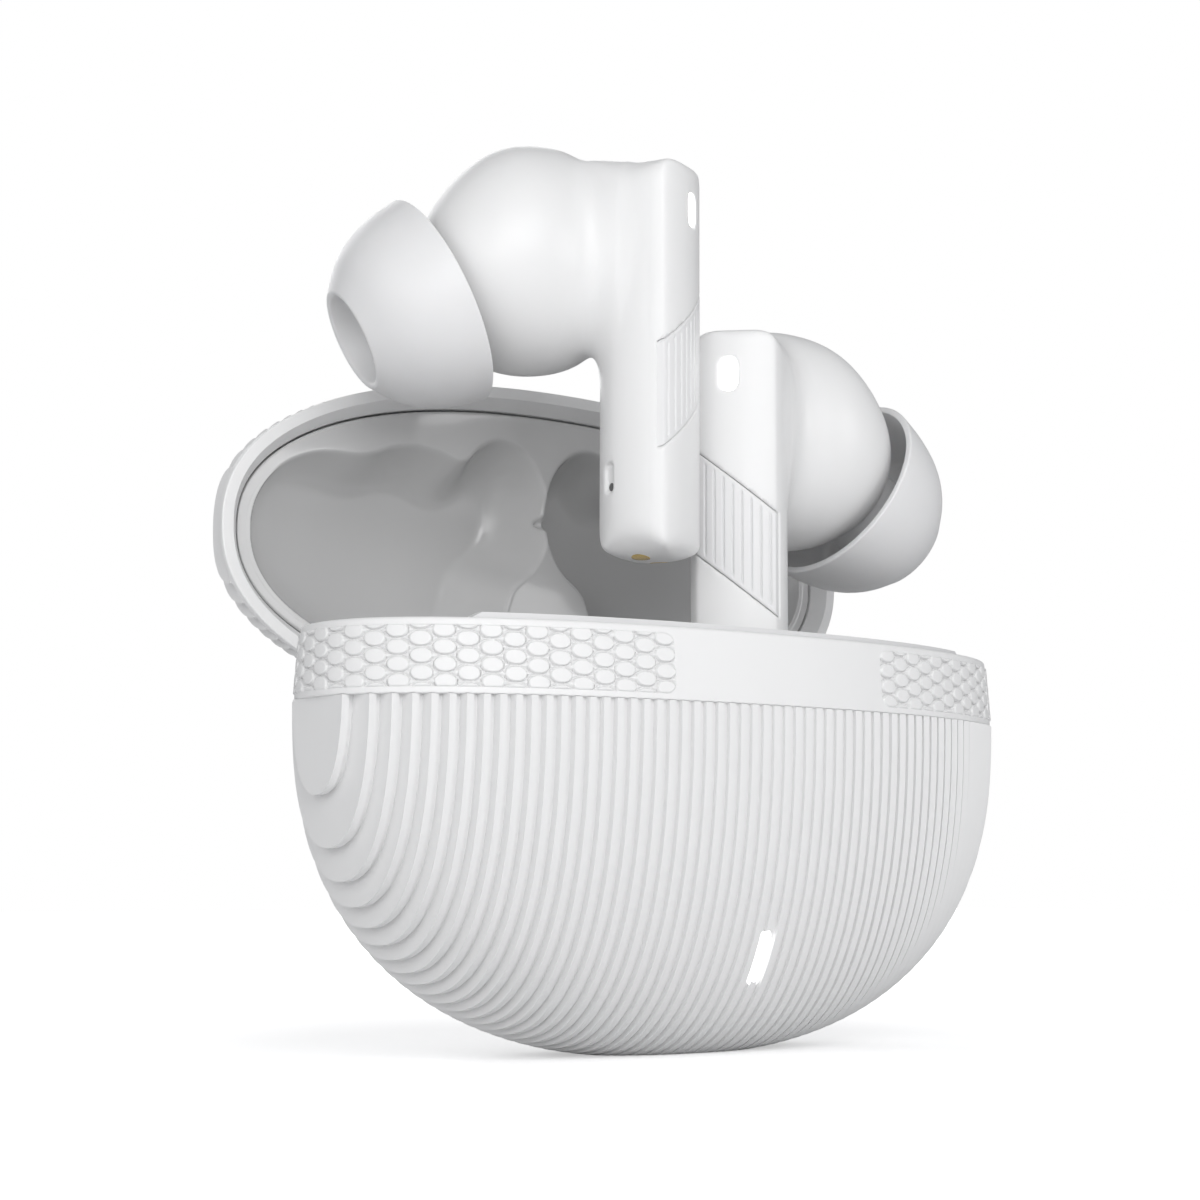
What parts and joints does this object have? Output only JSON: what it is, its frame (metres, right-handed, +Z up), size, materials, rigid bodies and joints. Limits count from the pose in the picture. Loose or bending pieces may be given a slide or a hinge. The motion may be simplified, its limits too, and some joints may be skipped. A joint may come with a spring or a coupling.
{
  "type": "wireless earbuds charging case",
  "caption": "Ribbed oval charging case with its hinged lid open, one stem earbud part way out of its pocket and the other lifted clear above it.",
  "frame": {"origin": "centre of the small flat that the case stands on", "axes": "+Z up, +X to the right along the hinge line, -Y towards the front of the case"},
  "size_m": [0.0614, 0.0376, 0.0671],
  "materials": {
    "shell_white": "satin moulded plastic",
    "tray_white": "satin moulded plastic",
    "pearl_grey": "pearl gloss",
    "bud_white": "gloss",
    "tip_silicone": "soft satin",
    "clear_pipe": "frosted clear plastic",
    "gold_contact": "gold plated",
    "hinge_metal": "satin",
    "steel": "satin",
    "magnet_nickel": "nickel plated",
    "cell_foil": "foil pouch",
    "board": "solder mask",
    "dark_mesh": "woven mesh"
  },
  "bodies": {
    "case": {"case_battery": "cell_foil", "charge_pin_board": "board", "closing_magnets": "magnet_nickel", "front_ballast": "steel", "hinge_pin": "steel", "hinge_spring": "steel", "holding_magnets": "magnet_nickel", "inner_tray": "tray_white", "lower_shell": "shell_white", "main_board": "board", "rim_band": "shell_white", "status_led": "clear_pipe", "status_light_pipe": "clear_pipe", "usb_c_receptacle": "steel"},
    "lid": {"lid_hinge_arm": "hinge_metal", "lid_liner": "pearl_grey", "lid_magnets": "magnet_nickel", "lid_shell": "shell_white"},
    "right_bud": {"right_bud_shell": "bud_white", "right_face_cover": "bud_white", "right_grip_panel": "bud_white", "right_light_pipe": "clear_pipe", "right_ear_tip": "tip_silicone", "right_nozzle_mesh": "dark_mesh", "right_driver": "steel", "right_cell": "cell_foil", "right_bud_board": "board", "right_charge_contacts": "gold_contact", "right_mic_mesh": "dark_mesh"},
    "left_bud": {"left_bud_shell": "bud_white", "left_face_cover": "bud_white", "left_grip_panel": "bud_white", "left_light_pipe": "clear_pipe", "left_ear_tip": "tip_silicone", "left_nozzle_mesh": "dark_mesh", "left_driver": "steel", "left_cell": "cell_foil", "left_bud_board": "board", "left_charge_contacts": "gold_contact", "left_mic_mesh": "dark_mesh"},
    "right_pins": {"charge_pins_right": "gold_contact"},
    "left_pins": {"charge_pins_left": "gold_contact"}
  },
  "joints": [
    {"name": "lid_hinge", "type": "hinge", "parent": "case", "child": "lid", "pos_m": [0, 0.0112, 0.02738], "axis": [1, 0, 0], "range_deg": [0, 91.74]},
    {"name": "right_bud_lift", "type": "slide", "parent": "case", "child": "right_bud", "axis": [0, 0, 1], "range_m": [-0.0206, 0]},
    {"name": "left_bud_lift", "type": "slide", "parent": "case", "child": "left_bud", "axis": [0, 0, 1], "range_m": [0, 0.04]},
    {"name": "right_pins_press", "type": "slide", "parent": "case", "child": "right_pins", "axis": [0, 0, 1], "range_m": [-0.0002, 0], "stiffness_N_per_m": 150},
    {"name": "left_pins_press", "type": "slide", "parent": "case", "child": "left_pins", "axis": [0, 0, 1], "range_m": [-0.0002, 0], "stiffness_N_per_m": 150}
  ],
  "couplings": [
    {"joint": "right_bud_lift", "follows": "lid_hinge", "m_per_rad": -0.012865},
    {"joint": "left_bud_lift", "follows": "lid_hinge", "m_per_rad": 0.02498}
  ]
}
